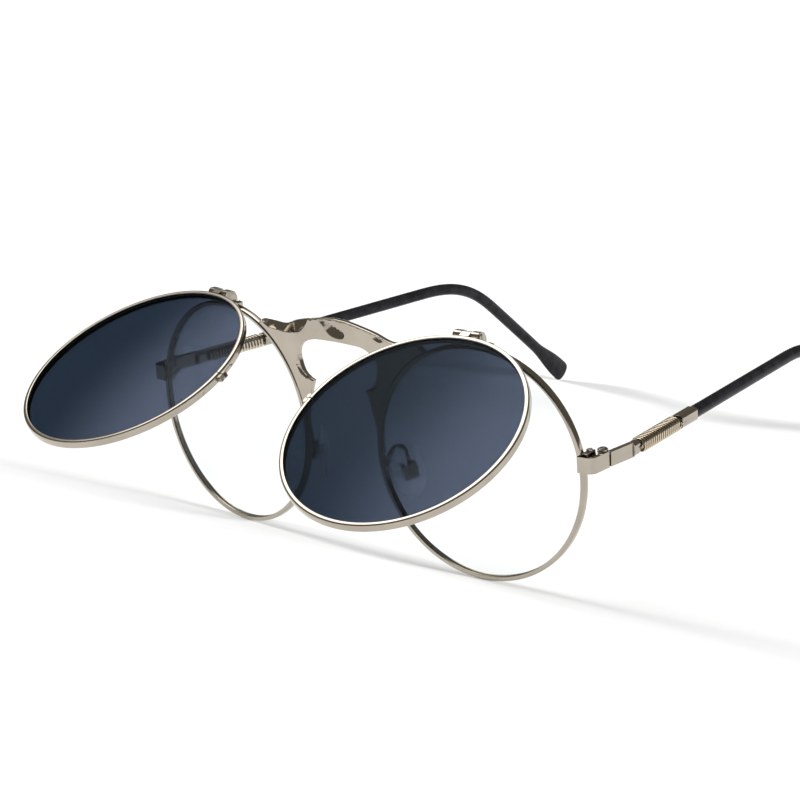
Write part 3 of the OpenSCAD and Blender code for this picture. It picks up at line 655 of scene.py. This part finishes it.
flat_spots, _, flat_faces, origins, _, _ = delaunay_2d_cdt(
    [Vector(spot) for spot in spots.tolist()], [], [list(range(len(outline)))], 1, 1e-5)
flat = np.array([tuple(spot) for spot in flat_spots])
place_of = {}
for new, olds in enumerate(origins):
    for old in olds:
        place_of[old] = new
beyond = np.abs(flat[:, 0]) - WING_START
bend = math.tan(WRAP) * (beyond + np.sqrt(beyond ** 2 + WING_SOFT ** 2)) / 2
bend -= math.tan(WRAP) * WING_SOFT / 8
front_depth = BRIDGE_FRONT + plate_depth(flat)
back_depth = BRIDGE_FRONT + BRIDGE_T - BRIDGE_ROUND + edge_height(flat)
front_depth = np.minimum(front_depth, back_depth - LEAST_T)
count = len(flat)
points = [(x, y, z) for (x, z), y in zip(flat, front_depth + bend)]
points += [(x, y, z) for (x, z), y in zip(flat, back_depth + bend)]
faces = [tuple(face) for face in flat_faces]
faces += [tuple(count + k for k in reversed(face)) for face in flat_faces]
loop = [place_of[i] for i in range(len(outline))]
faces += [(a, b, count + b, count + a) for a, b in zip(loop, loop[1:] + loop[:1])]
points = [tuple(float(value) for value in point) for point in points]
build("scooped_bridge", points, faces, front_frame, "right", "front", plated,
      ["bridge"], sharp=16, flat=0.9985)

# Coils: round wire wound in 18 turns round the temple's square bar, gilt by its warm plating. The bar is
# painted near black, as painted shade between the turns.
COIL_START = 2.3
COIL_LEN = 17.2
COIL_TURNS = 18
COIL_WIRE = 0.45
COIL_CORNER = 0.3
COIL_R = 1.32
GILT = (0.58, 0.49, 0.36, 1)
GILT_PALE = (0.64, 0.57, 0.46, 1)
TURN_STEPS = 20
TEMPLE_OUT = 61.9
TEMPLE_BACK = 14
TEMPLE_UP = {"left": 5.25, "right": 4.05}
TEMPLE_INWARD = math.radians(7.2)
TEMPLE_RISE = math.radians(2.72)


def temple_frame(side):
    """The front end of the coil's axis, with +Y along the temple."""
    return (Matrix.Translation((TEMPLE_OUT, TEMPLE_BACK - FRONT_AHEAD, FRONT_UP + TEMPLE_UP[side]))
            @ Matrix.Rotation(TEMPLE_INWARD, 4, "Z") @ Matrix.Rotation(TEMPLE_RISE, 4, "X"))


gilt_wire = polished_metal("gilt_wire", GILT, GILT_PALE, 0.06)
coil_ends = COIL_WIRE + COIL_CORNER
coil_path = []
coil_out = []
for i in range(COIL_TURNS * TURN_STEPS + 1):
    turn = 2 * math.pi * i / TURN_STEPS
    reach = COIL_R / (math.cos(turn) ** 4 + math.sin(turn) ** 4) ** 0.25
    back = COIL_START + coil_ends + (COIL_LEN - 2 * coil_ends) * i / (COIL_TURNS * TURN_STEPS)
    coil_path.append(Vector((reach * math.cos(turn), back, reach * math.sin(turn))))
    coil_out.append(Vector((math.cos(turn), 0, math.sin(turn))))
coil_path = [Vector((COIL_R, COIL_START, 0)), Vector((COIL_R, COIL_START + COIL_WIRE, 0)),
             *coil_path[1:-1], Vector((COIL_R, COIL_START + COIL_LEN - COIL_WIRE, 0)),
             Vector((COIL_R, COIL_START + COIL_LEN, 0))]
coil_out = [coil_out[0], coil_out[0], *coil_out[1:-1], coil_out[0], coil_out[0]]
for side in SIDES:
    points, faces = swept(coil_path, coil_out, COIL_WIRE / 2, COIL_WIRE / 2, 12)
    build("wound_coil_" + side, points, faces, temple_frame(side), side, "temple_" + side, gilt_wire,
          ["temple_coil_" + side], sharp=60)

# Ear tips: black moulded sleeves pushed over the temple wire. Each is straight, turns down and out
# over the ear, and flares to a flat rounded end.
FERRULE_END = 26.5
TIP_R = 1.38
TIP_STRAIGHT = 42.0
TIP_BEND = 31.0
TIP_RUN = 37.0
TIP_DROP = {"left": math.radians(40.52), "right": math.radians(38.87)}
TIP_CURL = math.radians(1)
TIP_SPLAY = math.radians(9.5)
TIP_END_H = 6.2
TIP_END_T = 2.5
TIP_LEN = TIP_STRAIGHT + TIP_BEND + TIP_RUN
TIP_RINGS = 92
FLARE_START = 16.0
FLARE_LEN = 13.0
SLEEVE_BLACK = (0.005, 0.005, 0.006, 1)
SLEEVE_SOFT = (0.010, 0.010, 0.011, 1)
# The last rings close in a rounded end, inside the length and just clear of the ground.
ROUND_RINGS = 8
ROUND_LEN = 1.6
END_SLIM = 0.16
END_LEAST = 0.08


def tip_direction(along, drop):
    """Which way the sleeve runs at a length from the ferrule."""
    bent = eased((along - TIP_STRAIGHT) / TIP_BEND)
    down = drop * bent + TIP_CURL * min(1, max(0, (along - TIP_LEN + TIP_RUN) / TIP_RUN))
    out = TIP_SPLAY * bent
    return Vector((math.sin(out) * math.cos(down), math.cos(out) * math.cos(down), -math.sin(down)))


def tip_tube(side):
    """The sleeve's path with the half thickness and half height of its rings."""
    step = TIP_LEN / TIP_RINGS
    path = [Vector((0, FERRULE_END, 0))]
    for i in range(1, TIP_RINGS + 1):
        path.append(path[-1] + tip_direction((i - 0.5) * step, TIP_DROP[side]) * step)
    flare = [eased((i * step - TIP_LEN + FLARE_START) / FLARE_LEN) for i in range(TIP_RINGS + 1)]
    thick = [TIP_R + (TIP_END_T / 2 - TIP_R) * share for share in flare]
    high = [(TIP_R + (TIP_END_H / 2 - TIP_R) * share) * (1 - END_SLIM * share) for share in flare]
    end = path[-1]
    along = (path[-1] - path[-2]).normalized()
    while (path[-1] - end).length < ROUND_LEN:
        for values in (path, thick, high):
            values.pop()
    end_thick = thick[-1]
    end_high = high[-1]
    for i in range(ROUND_RINGS + 1):
        turn = math.pi / 2 * i / ROUND_RINGS
        left = max(END_LEAST, math.cos(turn))
        path.append(end - along * ROUND_LEN * (1 - math.sin(turn)))
        thick.append(end_thick * left)
        high.append(end_high - end_thick * (1 - left))
    return path, thick, high


sleeve, sleeve_shader, sleeve_place = paint("sleeve_plastic")
sleeve_grain = noise(sleeve_place, 400.0, 4.0)
join(colour_mix(sleeve_grain.step(0.3, 0.7), SLEEVE_BLACK, SLEEVE_SOFT),
     sleeve_shader.inputs["Base Color"])
join(sleeve_grain.step(0.3, 0.8) * 0.08 + 0.2, sleeve_shader.inputs["Roughness"])
join(bumped(sleeve_grain, 0.05), sleeve_shader.inputs["Normal"])
sleeve_shader.inputs["Specular IOR Level"].default_value = 0.06
for side in SIDES:
    path, thick, high = tip_tube(side)
    points, faces = swept(path, Vector((1, 0, 0)), thick, high, 32)
    build("ear_sleeve_" + side, points, faces, temple_frame(side), side, "temple_" + side, sleeve,
          ["temple_tip_" + side], sharp=60)

# Pad arms: bent round wire, plated like the rims. Each is soldered behind its rim and curls over
# into the box that holds the nose pad.
ARM_WIRE = 1.0
ARM_ROOT_R = 24.6
ARM_ROOT_BACK = 0.75
ARM_ROOT_UP = -4.9
root_x = -math.sqrt(ARM_ROOT_R ** 2 - ARM_ROOT_UP ** 2)
arm_bends = [Vector((RIM_SPACING / 2 + root_x * math.cos(WRAP) - ARM_ROOT_BACK * math.sin(WRAP),
                     root_x * math.sin(WRAP) + ARM_ROOT_BACK * math.cos(WRAP), ARM_ROOT_UP)),
             Vector((11.2, -0.6, 1.2)), Vector((14.2, 0.9, 1.8)), Vector((14.05, 1.77, -4.4))]
ARM_ACROSS = Vector((-0.5, 0.85, 0))
ARM_STEPS = 40
arm_path = []
for i in range(ARM_STEPS + 1):
    t = i / ARM_STEPS
    arm_path.append(arm_bends[0] * (1 - t) ** 3 + arm_bends[1] * 3 * t * (1 - t) ** 2
                    + arm_bends[2] * 3 * t * t * (1 - t) + arm_bends[3] * t ** 3)
for side in SIDES:
    points, faces = swept(arm_path, ARM_ACROSS, ARM_WIRE / 2, ARM_WIRE / 2, 16)
    build("bent_pad_arm_" + side, points, faces, front_frame, side, "front", plated,
          ["pad_arm_" + side], sharp=60)

# Nose pads: drop-shaped pads moulded in clear soft plastic, with a lug behind that a screw holds in
# the box. They are solid, with no filling.
PAD_H = 13.0
PAD_W = 7.5
PAD_T = 2.1
PAD_AXIS_BACK = 2.3
PAD_AXIS_UP = 0.3
PAD_LUG_R = 0.85
PAD_LUG_W = 1.3
PAD_CENTRE = (12, 3.2, -6.1)
PAD_TURN = math.radians(55)
PAD_SLANT = math.radians(-12.6)
PAD_TILT = math.radians(-2.6)
PAD_TAPER = 0.12
PAD_LEAST_W = 0.05
PAD_LEAST_T = 0.12
PAD_FULL = 0.6
PAD_SIDE = 0.92
PAD_RINGS = 36
LUG_STEPS = 16
PAD_PALE = (0.72, 0.71, 0.66, 1)
PAD_CLOUD = (0.80, 0.80, 0.77, 1)
pad_frame = (front_frame @ Matrix.Translation(PAD_CENTRE) @ Matrix.Rotation(PAD_TURN, 4, "Z")
             @ Matrix.Rotation(PAD_SLANT, 4, "Y") @ Matrix.Rotation(PAD_TILT, 4, "X"))
pad_paint, pad_shader, pad_place = paint("clear_soft_plastic")
pad_cloud = noise(pad_place, 300.0, 3.0)
join(colour_mix(pad_cloud.step(0.3, 0.7), PAD_PALE, PAD_CLOUD), pad_shader.inputs["Base Color"])
join(pad_cloud.step(0.3, 0.8) * 0.12 + 0.16, pad_shader.inputs["Roughness"])
join(bumped(pad_cloud, 0.05), pad_shader.inputs["Normal"])
pad_edge = pad_place.node("ShaderNodeLayerWeight", None, "Facing", {"Blend": 0.4})
join(pad_edge * 0.6 + 0.12, pad_shader.inputs["Alpha"])
pad_heights = [-math.cos(math.pi * i / PAD_RINGS) for i in range(PAD_RINGS + 1)]
pad_fat = [max(PAD_LEAST_W, math.sqrt(max(0, 1 - t * t))) for t in pad_heights]
pad_a = [PAD_W / 2 * fat * (1 - PAD_TAPER * t) for fat, t in zip(pad_fat, pad_heights)]
pad_b = [PAD_T / 2 * max(PAD_LEAST_T, fat ** PAD_FULL) * (PAD_SIDE if fat < 1 else 1) for fat in pad_fat]
points, faces = swept([Vector((0, 0, t * PAD_H / 2)) for t in pad_heights], Vector((1, 0, 0)),
                      pad_a, pad_b, 32)
lug_ring = []
for k in range(LUG_STEPS + 1):
    turn = math.pi / 2 + math.pi * k / LUG_STEPS
    lug_ring.append((-PAD_AXIS_BACK + PAD_LUG_R * math.cos(turn),
                     PAD_AXIS_UP + PAD_LUG_R * math.sin(turn)))
lug_ring += [(0, PAD_AXIS_UP - PAD_LUG_R), (0, PAD_AXIS_UP + PAD_LUG_R)]
base = len(points)
count = len(lug_ring)
points += [Vector((x, y, z)) for x in (-PAD_LUG_W / 2, PAD_LUG_W / 2) for y, z in lug_ring]
faces += [(base + k, base + (k + 1) % count, base + count + (k + 1) % count, base + count + k)
          for k in range(count)]
faces += [tuple(base + k for k in range(count)), tuple(base + count + k for k in range(count))]
for side in SIDES:
    build("soft_nose_pad_" + side, points, faces, pad_frame, side, "pad_" + side, pad_paint,
          ["nose_pad_" + side], sharp=50)

# Small metal parts keep their CAD shapes: end pieces, leaves, knuckles, saddles, collars, ferrules, boxes
# and lock blocks are plated like the rims. Screws and pins are plain steel, a little duller, and the bar
# inside each coil is painted near black as painted shade between the coil's turns.
STEEL = (0.36, 0.335, 0.30, 1)
STEEL_PALE = (0.45, 0.42, 0.38, 1)
# The bar's near-black tones are painted shade between the coil's turns, not the steel's own colour.
BAR_PAINTED_SHADE = (0.10, 0.085, 0.065, 1)
BAR_PAINTED_SHADE_PALE = (0.16, 0.135, 0.105, 1)
screw_steel = polished_metal("screw_steel", STEEL, STEEL_PALE, 0.16)
painted_shade_bar = polished_metal("painted_shade_bar", BAR_PAINTED_SHADE, BAR_PAINTED_SHADE_PALE, 0.3)
PLATED_PARTS = ("endpiece", "flip_mount", "flip_knuckle", "temple_leaf", "temple_ferrule", "pad_box",
                "temple_collar", "rim_lock", "flip_lock")
STEEL_PARTS = ("hinge_screw", "flip_pin", "rim_lock_screw", "flip_lock_screw", "pad_screw")
BAR_PARTS = ("temple_core",)
for side in SIDES:
    for kinds, finish in ((PLATED_PARTS, plated), (STEEL_PARTS, screw_steel), (BAR_PARTS, painted_shade_bar)):
        for kind in kinds:
            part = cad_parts[f"{kind}_{side}"]
            part.data.materials.clear()
            part.data.materials.append(finish)
